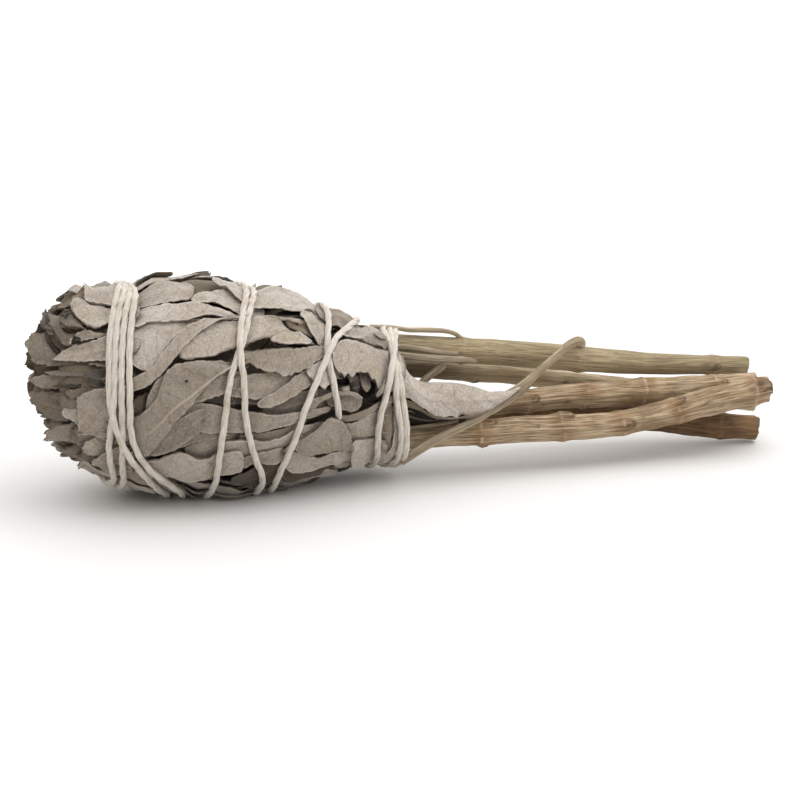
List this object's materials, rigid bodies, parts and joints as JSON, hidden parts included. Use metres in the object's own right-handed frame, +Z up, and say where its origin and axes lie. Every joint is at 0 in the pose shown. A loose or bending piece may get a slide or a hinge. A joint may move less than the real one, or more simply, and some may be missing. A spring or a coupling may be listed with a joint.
{
  "type": "sage smudge stick",
  "caption": "Torch-shaped bundle of dried sage leaves bound with wound cotton string, on a handle of cut woody stems, lying on its side.",
  "frame": {"origin": "centre of the bounding box's base, on the surface that the bundle lies on", "axes": "+X along the stick from the leafy tip to the cut stem ends, +Z up, -Y towards the side that the picture shows"},
  "size_m": [0.155, 0.0468, 0.0449],
  "materials": {
    "sage_leaf": "dry felted leaf, matt",
    "cotton_string": "twisted undyed cotton, matt",
    "olive_stem": "smooth dry bark, satin",
    "tan_stem": "grained dry bark, matt",
    "brown_stem": "grained dry bark, matt"
  },
  "bodies": {
    "root": {"leaf_head": "sage_leaf", "neck_leaf": "sage_leaf", "cotton_string": "cotton_string", "stem_1": "olive_stem", "stem_2": "olive_stem", "stem_3": "tan_stem", "stem_4": "tan_stem", "stem_5": "brown_stem"}
  },
  "joints": []
}
